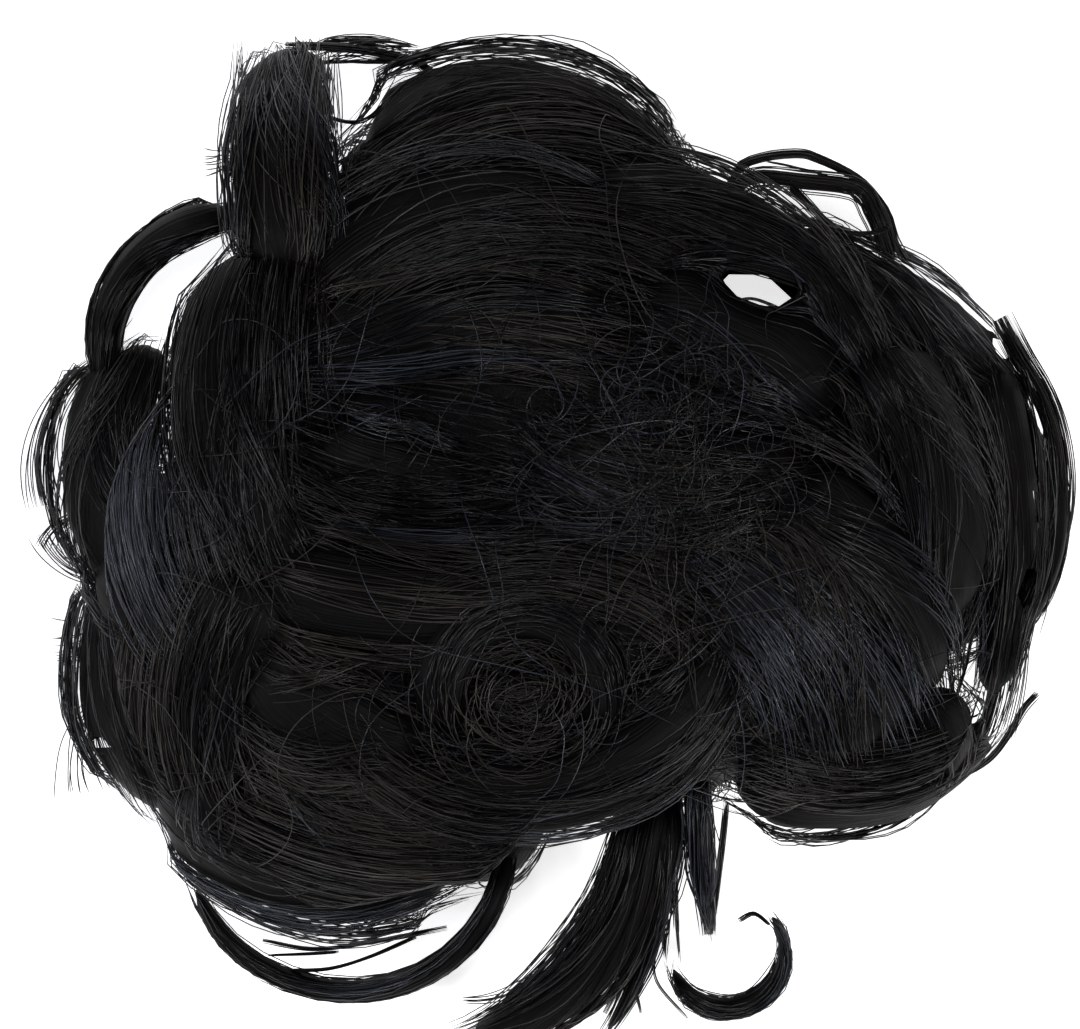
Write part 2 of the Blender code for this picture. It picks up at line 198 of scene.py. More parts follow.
fibreLook = dict(
    jetBlack="#040304",
    warmBlack="#1c1815",
    coolBlack="#121418",
    warmPaintedShine="#332f2a",
    coolPaintedShine="#34373f",
    roughness=0.30,
    shine=0.26,
    # the patch shifts fibres warmer or cooler, and at its extremes it lifts them into painted shine
    patch=24.0,  # how wide a patch of warmer or cooler fibre is
)


def fibreMaterial():
    # Modacrylic fibre, extruded and heat-set into curls: solution-dyed black, smooth enough for soft streaks of shine
    # along each lock, with a few warmer and cooler fibres in the blend.
    # Where tone and patch reach the ends of the ramp, the base colour also holds painted cool and warm highlights.
    material, tree, shader = newMaterial("modacrylic_fibre_heat_set")
    tone = addNode(tree, "ShaderNodeAttribute", attribute_name="fibreToneAndPaintedShine")
    place = addNode(tree, "ShaderNodeTexCoord")
    patch = addNode(tree, "ShaderNodeTexNoise", {
        "Vector": place.outputs["Object"], "Scale": 1 / (fibreLook["patch"] * mm), "Detail": 1.5})
    blend = addNode(tree, "ShaderNodeMath", {0: tone.outputs["Fac"], 1: patch.outputs["Fac"]}, operation="ADD")
    half = addNode(tree, "ShaderNodeMath", {0: blend.outputs[0], 1: 0.5}, operation="MULTIPLY")
    ramp = addNode(tree, "ShaderNodeValToRGB", {"Fac": half.outputs[0]})
    # the two outer stops are painted cool and warm highlights in the base colour, not fibre colours
    setRamp(ramp, [
        (0.22, fibreLook["coolPaintedShine"]), (0.33, fibreLook["coolBlack"]), (0.44, fibreLook["jetBlack"]),
        (0.56, fibreLook["jetBlack"]), (0.68, fibreLook["warmBlack"]), (0.80, fibreLook["warmPaintedShine"])])
    tree.links.new(ramp.outputs["Color"], shader.inputs["Base Color"])
    rough = addNode(tree, "ShaderNodeMapRange", {
        "Value": tone.outputs["Fac"],
        "To Min": fibreLook["roughness"] - 0.05,
        "To Max": fibreLook["roughness"] + 0.1})
    tree.links.new(rough.outputs["Result"], shader.inputs["Roughness"])
    shader.inputs["IOR"].default_value = 1.54
    shader.inputs["Specular IOR Level"].default_value = fibreLook["shine"]
    return material


packedLook = dict(
    deep="#030303",
    lifted="#080707",
    roughness=0.55,
    shine=0.07,
    strandWidth=0.5,  # the real fibre is 0.08 mm, too fine to show, so grooves stand for bundles of it
    strandLength=30.0,
    grooveDepth=0.4,
)


def packedMaterial():
    # The same fibre packed deep in a lock: little light comes back, and fine grooves run along it.
    material, tree, shader = newMaterial("modacrylic_fibre_packed")
    lie = addNode(tree, "ShaderNodeAttribute", attribute_name="lie")
    along, across = 1 / packedLook["strandLength"], 1 / packedLook["strandWidth"]
    stretch = addNode(tree, "ShaderNodeMapping", {
        "Vector": lie.outputs["Vector"], "Scale": (along, across, across)})
    streak = addNode(tree, "ShaderNodeTexNoise", {
        "Vector": stretch.outputs["Vector"], "Scale": 1.0, "Detail": 2.0})
    ramp = addNode(tree, "ShaderNodeValToRGB", {"Fac": streak.outputs["Fac"]})
    setRamp(ramp, [(0.35, packedLook["deep"]), (0.7, packedLook["lifted"])])
    tree.links.new(ramp.outputs["Color"], shader.inputs["Base Color"])
    bump = addNode(tree, "ShaderNodeBump", {
        "Height": streak.outputs["Fac"], "Strength": 0.8, "Distance": packedLook["grooveDepth"] * mm})
    tree.links.new(bump.outputs["Normal"], shader.inputs["Normal"])
    shader.inputs["Roughness"].default_value = packedLook["roughness"]
    shader.inputs["IOR"].default_value = 1.54
    shader.inputs["Specular IOR Level"].default_value = packedLook["shine"]
    return material


def wovenMaterial(name, dark, light, threadSpacing, roughness):
    # Black polyester, woven or knitted tight: a matt cloth with a thread grain.
    material, tree, shader = newMaterial(name)
    place = addNode(tree, "ShaderNodeTexCoord")
    grain = addNode(tree, "ShaderNodeTexVoronoi", {
        "Vector": place.outputs["Object"], "Scale": 1 / (threadSpacing * mm)}, feature="F1")
    ramp = addNode(tree, "ShaderNodeValToRGB", {"Fac": grain.outputs["Distance"]})
    setRamp(ramp, [(0.15, light), (0.75, dark)])
    tree.links.new(ramp.outputs["Color"], shader.inputs["Base Color"])
    bump = addNode(tree, "ShaderNodeBump", {
        "Height": grain.outputs["Distance"], "Strength": 0.7, "Distance": -0.15 * mm})
    tree.links.new(bump.outputs["Normal"], shader.inputs["Normal"])
    shader.inputs["Roughness"].default_value = roughness
    shader.inputs["Sheen Weight"].default_value = 0.15
    shader.inputs["IOR"].default_value = 1.5
    return material


fibre = fibreMaterial()
packedFibre = packedMaterial()
weftCloth = wovenMaterial("sewn_weft_cloth", "#0c0b0c", "#201e1f", 0.45, 0.8)
elasticCover = wovenMaterial("knitted_elastic_cover", "#0e0e10", "#242426", 0.55, 0.75)
threadCover = wovenMaterial("twisted_polyester_thread", "#141315", "#2e2c2e", 0.3, 0.6)
print("materials made")


# Where the hair parts and the floor shows through. Half sizes are in mm and turns in degrees
partingColumns = "x y halfLong halfWide turn".split()
partingTable = [
    (0.389, 0.463, 6.5, 3.75, -15),  # the gap between the curls at the upper right
    (0.929, 0.227, 4.0, 0.7, 108),  # slits along the right edge
    (0.925, 0.058, 3.0, 0.5, 95),
    (0.858, 0.355, 2.0, 0.8, 120),
    (0.906, -0.110, 2.6, 1.2, 70),
    (0.814, -0.353, 2.8, 0.8, 78),
    (0.866, -0.353, 3.6, 0.9, 72),
    (-0.881, -0.417, 1.8, 0.8, 10),
]


def partingFrame(row):
    parting = dict(zip(partingColumns, row))
    turn = math.radians(parting["turn"])
    axes = np.array([(math.cos(turn), math.sin(turn)), (-math.sin(turn), math.cos(turn))])
    middle = np.array((parting["x"], parting["y"])) * bun["radius"]
    return middle, axes, np.array((parting["halfLong"], parting["halfWide"]))


def partHair(points):
    # pushes hair out of each parting, easing off at twice its size
    points = np.array(points, float)
    for row in partingTable:
        middle, axes, half = partingFrame(row)
        local = (points[..., :2] - middle) @ axes.T / half
        reach = np.maximum(np.linalg.norm(local, axis=-1), 1e-3)
        moved = np.where(reach < 2, (1 + reach / 2) / reach, 1)
        points[..., :2] = middle + local * moved[..., None] * half @ axes
    return points


def outsidePartings(places):
    clear = np.ones(len(places), bool)
    for row in partingTable:
        middle, axes, half = partingFrame(row)
        clear &= np.linalg.norm((places[:, :2] - middle) @ axes.T / half, axis=-1) > 0.93
    return clear


# Meshes from arrays

def skin(name, rings, material, closed=False, tone=None, lie=None, parted=False):
    # rings is tubes x sections x sides x 3, in mm from the ring's centre. Tubes get end caps, closed ones none
    tubes, sections, sides, _ = rings.shape
    rings = partHair(rings) if parted else rings
    index = np.arange(tubes * sections * sides).reshape(tubes, sections, sides)
    a, b = (index, np.roll(index, -1, 1)) if closed else (index[:, :-1], index[:, 1:])
    quads = np.stack([a, b, np.roll(b, -1, 2), np.roll(a, -1, 2)], -1).reshape(-1, 4)
    if parted:
        quads = quads[outsidePartings(rings.reshape(-1, 3)[quads].mean(1))]
    loops = [quads.ravel()]
    totals = [np.full(len(quads), 4)]
    if not closed:
        caps = np.concatenate([index[:, 0], index[:, -1, ::-1]])
        loops.append(caps.ravel())
        totals.append(np.full(len(caps), sides))
    loops, totals = np.concatenate(loops), np.concatenate(totals)
    mesh = bpy.data.meshes.new(name)
    points = (rings.reshape(-1, 3) + ringCentre) * mm
    mesh.vertices.add(len(points))
    mesh.vertices.foreach_set("co", points.astype(np.float32).ravel())
    mesh.loops.add(len(loops))
    mesh.loops.foreach_set("vertex_index", loops.astype(np.int32))
    mesh.polygons.add(len(totals))
    mesh.polygons.foreach_set("loop_start", (np.cumsum(totals) - totals).astype(np.int32))
    mesh.update(calc_edges=True)
    mesh.shade_smooth()
    if tone is not None:
        values = mesh.attributes.new("fibreToneAndPaintedShine", "FLOAT", "POINT")
        values.data.foreach_set("value", np.repeat(tone, sections * sides).astype(np.float32))
    if lie is not None:
        values = mesh.attributes.new("lie", "FLOAT_VECTOR", "POINT")
        values.data.foreach_set("vector", lie.astype(np.float32).ravel())
    mesh.materials.append(material)
    piece = bpy.data.objects.new(name, mesh)
    bpy.context.scene.collection.objects.link(piece)
    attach(piece, "root")
    return piece


def sectionsAround(paths, wide, thick, side, up, sides, turn=0.0):
    angle = 2 * math.pi * np.arange(sides) / sides + turn
    across = side[..., None, :] * np.cos(angle)[:, None] * (wide[..., None, None] / 2)
    above = up[..., None, :] * np.sin(angle)[:, None] * (thick[..., None, None] / 2)
    return paths[..., None, :] + across + above


drawn = dict(fibreThickness=0.24, fineThickness=0.18, sections=12, strandSections=26, sides=3, floorGap=0.05)


def fibreTubes(name, paths, thickness, tone, parted=True):
    # each drawn fibre stands for a few real ones, which are too fine to show
    count, sections, _ = paths.shape
    paths = paths.copy()
    paths[..., 2] = np.maximum(paths[..., 2], thickness / 2 + drawn["floorGap"])
    ahead = unit(np.gradient(paths, axis=1))
    guide = unit(random.normal(size=(count, 1, 3)))
    side = unit(np.cross(ahead, guide))
    up = np.cross(side, ahead)
    s = np.linspace(0, 1, sections)
    ends = 0.3 + 0.7 * smooth(np.minimum(s, 1 - s) / 0.12)
    size = np.broadcast_to(ends * thickness, (count, sections))
    rings = sectionsAround(paths, size, size, side, up, drawn["sides"])
    piece = skin(name, rings, fibre, tone=tone, parted=parted)
    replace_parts(piece, "hair_bun")
    return piece


# Locks

lockColumns = "name x0 y0 x1 y1 bow rise0 rise1 width thick tip free".split()
lockTable = [
    ("crown", -0.384, 0.661, 0.20, 0.58, 0.29, 0.90, 0.90, 1.12, 1.00, 0.7, 0),
    ("crownInner", -0.50, 0.38, 0.18, 0.47, 0.26, 1.00, 1.00, 0.90, 1.00, 0.6, 0),
    ("ear", -0.47, 0.44, -0.52, 0.945, 0.05, 1.00, 1.60, 0.74, 0.80, 0.9, 1),
    ("earStrand", -0.50, 0.925, -0.26, 0.915, 0.04, 1.50, 1.05, 0.13, 0.30, 0.7, 1),
    ("ringTop", -0.04, 0.62, 0.62, 0.22, 0.20, 0.98, 1.04, 0.66, 1.00, 0.6, 0),
    ("overDent", -0.54, 0.30, 0.17, 0.36, 0.08, 1.02, 1.03, 0.70, 0.80, 0.5, 0),
    ("upperRight", 0.28, 0.52, 0.92, 0.24, 0.09, 0.85, 0.85, 0.70, 0.90, 0.6, 0),
    ("ringRight", 0.56, 0.39, 0.72, -0.22, 0.13, 1.04, 1.03, 0.85, 1.00, 0.6, 0),
    ("right", 0.80, 0.40, 0.84, -0.36, 0.07, 0.87, 0.80, 0.46, 1.00, 0.6, 0),
    ("rightBand", 0.82, 0.34, 0.84, -0.24, 0.23, 0.85, 0.82, 0.22, 0.60, 0.8, 0),
    ("rightInner", 0.39, 0.10, 0.72, -0.33, 0.12, 1.03, 1.00, 0.75, 0.80, 0.6, 0),
    ("fan", 0.26, -0.04, 0.60, -0.46, 0.10, 1.03, 1.00, 1.10, 0.90, 0.8, 0),
    ("lowerRight", 0.32, -0.45, 0.87, -0.37, -0.14, 0.75, 0.70, 0.72, 1.00, 0.5, 0),
    ("ringInner", 0.12, 0.42, 0.54, 0.22, 0.14, 1.02, 1.02, 0.75, 0.70, 0.6, 0),
    ("tangle", -0.08, 0.19, 0.52, 0.12, -0.10, 1.02, 1.03, 0.85, 0.70, 0.6, 0),
    ("underDent", -0.62, -0.05, 0.14, -0.05, -0.12, 1.00, 1.03, 0.75, 0.80, 0.6, 0),
    ("swirl", -0.16, -0.41, 0.02, -0.42, 1.45, 1.03, 1.03, 0.50, 0.80, 0.8, 0),
    ("swirlHeart", -0.13, -0.30, 0.01, -0.30, -0.10, 1.00, 1.00, 0.50, 0.90, 0.9, 0),
    ("underSwirl", -0.32, -0.43, 0.35, -0.12, -0.27, 0.98, 1.03, 0.62, 0.90, 0.5, 0),
    ("bottomMiddle", -0.49, -0.49, 0.25, -0.45, -0.02, 0.90, 0.90, 0.70, 1.00, 0.7, 0),
    ("leftInner", -0.54, 0.57, -0.44, -0.12, -0.20, 0.98, 1.02, 0.85, 0.90, 0.6, 0),
    ("leftMiddle", -0.56, -0.20, -0.24, -0.42, -0.14, 1.01, 1.01, 0.80, 0.80, 0.6, 0),
    ("inDent", -0.47, 0.20, -0.12, 0.10, -0.06, 1.00, 1.00, 0.55, 0.60, 0.5, 0),
    ("leftArch", -0.58, 0.60, -0.84, 0.24, -0.31, 1.00, 0.95, 0.34, 0.50, 0.7, 0),
    ("left", -0.77, 0.37, -0.75, -0.15, -0.22, 0.80, 0.75, 0.85, 0.90, 0.6, 0),
    ("lowerLeftInner", -0.52, -0.04, -0.64, -0.56, -0.10, 1.02, 0.95, 0.85, 0.90, 0.6, 0),
    ("lowerLeft", -0.77, -0.05, -0.76, -0.55, -0.13, 0.65, 0.75, 0.98, 1.00, 0.6, 0),
    ("bottomLeft", -0.78, -0.44, -0.16, -0.60, -0.19, 0.80, 0.80, 1.02, 1.00, 0.7, 0),
    ("bottomLeftInner", -0.50, -0.40, -0.17, -0.61, -0.10, 1.00, 0.90, 0.66, 0.80, 0.6, 0),
    ("bottomLoop", -0.72, -0.65, -0.09, -0.54, -0.475, 0.90, 0.60, 0.16, 0.35, 0.9, 0),
    ("tail", 0.20, -0.42, -0.20, -1.01, 0.18, 0.65, 0.90, 0.48, 0.80, 0.7, 1),
    ("tailSide", 0.20, -0.44, 0.085, -1.00, 0.10, 0.62, 0.85, 0.16, 0.36, 0.4, 1),
    ("shortEnd", 0.27, -0.42, 0.306, -0.785, -0.03, 0.75, 0.80, 0.20, 0.40, 0.35, 1),
    ("hookShank", 0.225, -0.46, 0.2255, -0.84, -0.03, 0.50, 0.80, 0.12, 0.25, 0.9, 1),
    ("hook", 0.2255, -0.83, 0.40, -0.728, -0.77, 0.80, 0.80, 0.14, 0.26, 0.5, 1),
]
formSteps = 61

# How a lock fills out along its length, as shares of its width and of its length
lockShape = dict(rootWidth=0.6, rootLength=0.25, tipStart=0.55)


def fullness(t, tip):
    root, start = lockShape["rootWidth"], lockShape["tipStart"]
    filling = root + (1 - root) * smooth(t / lockShape["rootLength"])
    return filling * (1 - (1 - tip) * smooth((t - start) / (1 - start)))


def formFrom(spine, normals, wide, thick):
    ahead = np.gradient(spine, axis=0)
    side = unit(np.cross(ahead, normals))
    up = unit(np.cross(side, ahead))
    length = np.linalg.norm(np.diff(spine, axis=0), axis=1).sum()
    return dict(spine=spine, side=side, up=up, wide=wide, thick=thick, length=length)


def lockForm(lock):
    t = np.linspace(0, 1, formSteps)
    plan = arcPlan(lock["x0"], lock["y0"], lock["x1"], lock["y1"], lock["bow"], t)
    height = crownHeight(plan) * (lock["rise0"] + (lock["rise1"] - lock["rise0"]) * t)
    height = height - bun["tuck"] * (1 - smooth(t / 0.2))
    if not lock["free"]:
        height = height - bun["tuck"] * (1 - smooth((1 - t) / 0.2))
    spine = np.column_stack([plan * bun["radius"], height])
    full = fullness(t, lock["tip"])
    form = formFrom(spine, crownNormal(plan), bun["lockWidth"] * lock["width"] * full,
                    bun["lockThickness"] * lock["thick"] * full)
    form.update(name=lock["name"], share=lock["width"], free=lock["free"])
    return form


# How far the dome behind the locks reaches, by direction in degrees, as shares of the bun's radius
domeOutline = [
    (0, 0.80), (30, 0.76), (60, 0.66), (90, 0.76), (120, 0.76), (150, 0.70), (180, 0.80), (210, 0.84),
    (235, 0.80), (255, 0.64), (270, 0.47), (290, 0.48), (310, 0.64), (330, 0.82), (360, 0.80),
]


def domeReach(angle):
    degrees = np.degrees(angle) % 360
    knots = np.array([row[0] for row in domeOutline], float)
    shares = np.array([row[1] for row in domeOutline])
    low = np.clip(np.searchsorted(knots, degrees, side="right") - 1, 0, len(knots) - 2)
    part = smooth((degrees - knots[low]) / (knots[low + 1] - knots[low]))
    return (shares[low] + (shares[low + 1] - shares[low]) * part) * bun["radius"]


# The locks that leave the ring along the floor and curl up round the side. Each row of the curl is how far
# out it is, how far up, and how much its upper face has turned inward
skirt = dict(
    count=15,
    height=5.5,
    width=20.0,
    top=34.0,
    lean=0.22,
    curl=[(0.0, 0.0, 0.0), (0.45, -0.02, 0.0), (0.85, 0.0, 0.3),
          (1.05, 0.3, 0.8), (1.05, 0.7, 0.9), (0.84, 1.0, 0.6)],
)
weftOuter = (weftHigh.x - weftLow.x) / 2 / mm


def skirtForm(index):
    angle = 2 * math.pi * (index + 0.5) / skirt["count"]
    top = skirt["top"] * (1.12 if index % 2 else 0.88)
    middles, normals = [], []
    for reach, rise, inward in skirt["curl"]:
        bend = angle + skirt["lean"] * rise * (1 if index % 3 else -1)
        out = np.array((math.cos(bend), math.sin(bend), 0))
        radius = weftOuter - 1 + (domeReach(bend) - weftOuter + 1) * reach
        middles.append(out * radius + (0, 0, skirt["height"] + (top - skirt["height"]) * rise))
        normals.append(np.array((0, 0, 1 - inward)) - out * inward)
    t = np.linspace(0, 1, formSteps)
    full = fullness(t, 0.6)
    form = formFrom(curveThrough(middles, formSteps), unit(curveThrough(normals, formSteps)),
                    skirt["width"] * full, np.full(formSteps, skirt["height"] * 2 + 1))
    form.update(name="skirt", share=skirt["width"] / bun["lockWidth"], free=0)
    return form


locks = [lockForm(dict(zip(lockColumns, row))) for row in lockTable]
skirts = [skirtForm(index) for index in range(skirt["count"])]

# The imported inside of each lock, grooved along its length
lockBody = dict(sides=24, sections=30, share=0.80, groove=0.07, start=0.06, thinnest=0.13)


def lockBodies():
    rings, lies = [], []
    for form in locks + skirts:
        if form["share"] <= lockBody["thinnest"]:
            continue
        t = np.linspace(0, 1, lockBody["sections"])
        fromEnd = np.minimum(np.minimum(t, 1 - t), 0.1) / 0.1
        size = (0.2 + 0.8 * np.sqrt(1 - (1 - fromEnd) ** 2)) * lockBody["share"]
        t = lockBody["start"] + (1 - 2 * lockBody["start"]) * t
        ring = sectionsAround(readAt(form["spine"], t)[None], (readAt(form["wide"], t) * size)[None],
                              (readAt(form["thick"], t) * size)[None], readAt(form["side"], t)[None],
                              readAt(form["up"], t)[None], lockBody["sides"])[0]
        angle = 2 * math.pi * np.arange(lockBody["sides"]) / lockBody["sides"]
        groove = np.zeros((len(t), len(angle)))
        for folds in (5, 7, 10):
            drift = random.uniform(-1.5, 1.5) * t[:, None]
            groove += np.sin(folds * (angle + drift) + random.uniform(0, 6)) / 3
        middle = readAt(form["spine"], t)[:, None]
        rings.append(middle + (ring - middle) * (1 + lockBody["groove"] * groove[..., None]))
        along = np.broadcast_to((t * form["length"])[:, None], groove.shape)
        size = form["wide"].max() / 2
        start = random.uniform(0, 500)
        lies.append(np.stack([along + start, np.broadcast_to(np.cos(angle) * size + start, groove.shape),
                              np.broadcast_to(np.sin(angle) * size, groove.shape)], -1))
    rings = np.array(rings)
    rings[..., 2] = np.maximum(rings[..., 2], 0.2)
    piece = skin("lock_bodies", rings, packedFibre, lie=np.array(lies).reshape(-1, 3), parted=True)
    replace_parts(piece, "hair_bun")


lockBodies()
print("lock bodies:", len(locks), "locks and", len(skirts), "skirt locks")

# Fibres on each lock, gathered in wisps that drift round it
wisp = dict(
    perLock=9,
    fibresPerLock=215,
    fibresPerFreeLock=380,
    fibresPerSkirt=95,
    endSpread=0.3,  # how unevenly its fibres start and end, as a share of its length
    spread=0.26,  # radians round the lock
    lift=0.07,  # share of the lock's half width
    drift=0.8,
    wander=0.7,
    strayShare=0.04,
    strayWander=2.2,
)


def fibresOnLock(form, count):
    steps = drawn["sections"]
    wisps = max(4, int(round(wisp["perLock"] * form["share"])))
    which = random.integers(0, wisps, count)
    wispAngle = 2 * math.pi * (np.arange(wisps) + random.uniform(0, 1, wisps)) / wisps
    wispDrift = random.normal(0, wisp["drift"], wisps)
    wispLift = random.uniform(0.92, 1.14, wisps)
    wispTone = random.uniform(0, 1, wisps)
    s = np.linspace(0, 1, steps)
    begin = random.uniform(0.0, wisp["endSpread"], (count, 1))
    end = 1 - random.uniform(0.0, wisp["endSpread"], (count, 1))
    t = begin + (end - begin) * s
    loose = 1.6 if form["free"] else 1.0
    gather = 0.55 + 0.45 * np.sin(math.pi * s)
    angle = wispAngle[which][:, None] + wispDrift[which][:, None] * (s - 0.5)
    angle = angle + random.normal(0, wisp["spread"] * loose, (count, 1)) * gather
    lift = wispLift[which][:, None] + random.normal(0, wisp["lift"] * loose, (count, 1)) * gather
    stray = random.uniform(0, 1, (count, 1)) < wisp["strayShare"] * loose
    sway = np.where(stray, wisp["strayWander"], wisp["wander"])
    widest = min(1.0, form["wide"].max() / 12)
    acrossAway = waver(count, steps, 1.0) * sway * widest
    upAway = waver(count, steps, 1.0) * sway * 0.6 * widest
    middle, side, up = (readAt(form[key], t) for key in ("spine", "side", "up"))
    across = readAt(form["wide"], t) / 2 * lift * np.cos(angle) + acrossAway
    above = readAt(form["thick"], t) / 2 * lift * np.sin(angle) + upAway
    paths = middle + side * across[..., None] + up * above[..., None]
    tone = np.clip(wispTone[which] * 0.8 + 0.1 + random.normal(0, 0.12, count), 0, 1)
    return paths, tone


def gatherFibres(name, forms, counts, thickness):
    paths, tones = [], []
    for form, count in zip(forms, counts):
        path, tone = fibresOnLock(form, count)
        paths.append(path)
        tones.append(tone)
    fibreTubes(name, np.concatenate(paths), thickness, np.concatenate(tones))
    return sum(counts)


def fibreCount(form):
    dense = form["free"] or form["share"] < 0.4
    return int(wisp["fibresPerFreeLock" if dense else "fibresPerLock"] * form["share"])


total = 0
for part, name in enumerate(("lock_fibres_top", "lock_fibres_middle", "lock_fibres_bottom")):
    share = locks[len(locks) * part // 3:len(locks) * (part + 1) // 3]
    total += gatherFibres(name, share, [fibreCount(form) for form in share], drawn["fibreThickness"])
total += gatherFibres("skirt_fibres", skirts, [wisp["fibresPerSkirt"]] * len(skirts), drawn["fibreThickness"])
print("lock fibres:", total)

# Fibres that fill the valleys, running the way that the nearest locks run
filling = dict(count=800, near=8.0, length=64.0, lowest=-1.5, highest=4.0, wander=0.8)


def flowSamples():
    places, ways = [], []
    for form in locks:
        if form["share"] > 0.3 and not form["free"]:
            spine = form["spine"][4:-4:5]
            places.append(spine[:, :2])
            ways.append(unit(np.gradient(form["spine"], axis=0)[4:-4:5, :2]))
    return np.concatenate(places), np.concatenate(ways)


def fillingFibres():
    places, ways = flowSamples()
    count, steps = filling["count"], drawn["sections"]
    angle = random.uniform(0, 2 * math.pi, count)
    radius = domeReach(angle) * np.sqrt(random.uniform(0, 1.0, count))
    at = np.column_stack([radius * np.cos(angle), radius * np.sin(angle)])
    heading = unit(random.normal(size=(count, 2)))
    stride = random.uniform(0.5, 1.1, (count, 1)) * filling["length"] / steps
    track = []
    for _ in range(steps):
        track.append(at)
        away = ((at[:, None] - places) ** 2).sum(-1)
        weight = np.exp(-away / (2 * filling["near"] ** 2)) + 1e-9
        agree = np.sign((heading[:, None] * ways).sum(-1))
        flow = unit(((weight * agree)[..., None] * ways).sum(1))
        heading = unit(heading * 0.5 + flow * 0.5)
        at = at + heading * stride
    plan = np.stack(track, 1)
    reach = domeReach(np.arctan2(plan[..., 1], plan[..., 0]))
    inside = np.hypot(plan[..., 0], plan[..., 1]) / reach
    plan = plan / np.maximum(inside / 1.02, 1)[..., None]
    lift = random.uniform(filling["lowest"], filling["highest"], (count, 1))
    height = crownHeight(plan / bun["radius"]) + lift + waver(count, steps, 0.8) * filling["wander"]
    height = height - 5 * smooth((inside - 0.85) / 0.2)
    fibreTubes("filling_fibres", np.dstack([plan, height]), drawn["fibreThickness"],
               random.uniform(0.1, 0.9, count))


fillingFibres()
print("filling fibres:", filling["count"])

# Sheaves lie flat over the locks, close together where they start and spread where they end.
# Widths and lifts are in mm, tone runs from 0, the coolest, with a painted cool highlight, over 0.5, jet black, to 1,
# the warmest, with a painted warm highlight
sheafColumns = "x0 y0 x1 y1 bow width0 width1 lift count tone".split()
sheafTable = [
    (-0.45, 0.48, 0.30, 0.66, 0.27, 20, 24, 6.0, 220, 0.80),  # over the crown
    (-0.50, 0.32, 0.28, 0.50, 0.20, 18, 22, 6.0, 220, 0.65),
    (-0.46, 0.70, -0.52, 0.16, -0.05, 15, 26, 7.0, 150, 0.60),  # down from the ear
    (-0.52, 0.45, -0.50, -0.22, -0.18, 18, 22, 5.5, 200, 0.45),  # the left
    (-0.74, 0.32, -0.62, -0.32, -0.20, 13, 16, 5.5, 180, 0.05),
    (-0.60, -0.06, -0.64, -0.56, -0.15, 22, 26, 5.0, 210, 0.90),
    (-0.36, 0.37, 0.12, 0.33, 0.04, 9, 14, 5.5, 140, 0.95),  # glints over the dent
    (-0.55, 0.12, -0.05, 0.05, -0.12, 16, 12, 3.0, 120, 0.50),
    (-0.05, 0.22, 0.50, 0.05, -0.12, 16, 20, 5.0, 130, 0.60),  # the middle
    (-0.30, -0.17, 0.25, -0.20, 0.18, 10, 16, 6.0, 140, 0.75),
    (-0.45, -0.33, 0.32, -0.22, -0.35, 12, 16, 6.0, 180, 0.75),
    (0.10, 0.62, 0.72, -0.10, 0.32, 22, 26, 6.0, 220, 0.50),  # the right
    (0.60, 0.45, 0.86, -0.25, 0.22, 16, 18, 5.0, 150, 0.40),
    (0.68, 0.26, 0.84, 0.02, -0.10, 6, 18, 6.0, 70, 0.02),
    (0.25, -0.02, 0.57, -0.42, 0.10, 9, 38, 7.0, 230, 0.04),  # the fan
    (0.34, -0.40, 0.84, -0.38, -0.14, 18, 14, 4.5, 130, 0.60),
    (-0.65, -0.50, 0.15, -0.50, -0.14, 22, 18, 5.5, 190, 0.80),  # the bottom
]
# the swirl's tone leans warm, partly into the painted warm highlight
swirlRings = dict(x=-0.067, y=-0.306, inner=4.0, outer=17.0, drift=2.6, lift=6.5, count=130, tone=0.85)


def sheafFibres():
    paths, tones = [], []
    steps = drawn["sections"]
    s = np.linspace(0, 1, steps)
    for row in sheafTable:
        sheaf = dict(zip(sheafColumns, row))
        count = sheaf["count"]
        plan = arcPlan(sheaf["x0"], sheaf["y0"], sheaf["x1"], sheaf["y1"], sheaf["bow"],
                       np.linspace(-0.1, 1.1, formSteps))
        ahead = unit(np.gradient(plan, axis=0))
        begin = random.uniform(0.0, 0.45, (count, 1))
        t = begin + (1 - begin - random.uniform(0.0, 0.45, (count, 1))) * s
        width = sheaf["width0"] + (sheaf["width1"] - sheaf["width0"]) * t
        lane = np.clip(random.normal(0, 0.27, (count, 1)), -0.62, 0.62)
        away = lane * width + waver(count, steps, 0.7) * 0.9
        left = np.stack([-ahead[:, 1], ahead[:, 0]], -1)
        place = readAt(plan, t) + readAt(left, t) * (away / bun["radius"])[..., None]
        reach = domeReach(np.arctan2(place[..., 1], place[..., 0])) / bun["radius"] * 1.07
        place = place / np.maximum(np.hypot(place[..., 0], place[..., 1]) / reach, 1)[..., None]
        arch = (0.35 + 0.65 * np.sin(math.pi * s)) * (1 - 1.6 * lane**2)
        lift = sheaf["lift"] * arch + random.uniform(-1.5, 1.2, (count, 1))
        paths.append(np.dstack([place * bun["radius"], crownHeight(place) + lift]))
        tones.append(sheaf["tone"] + random.normal(0, 0.10, count))
    fibreTubes("sheaf_fibres", np.concatenate(paths), drawn["fibreThickness"], np.concatenate(tones))
    return sum(len(path) for path in paths)


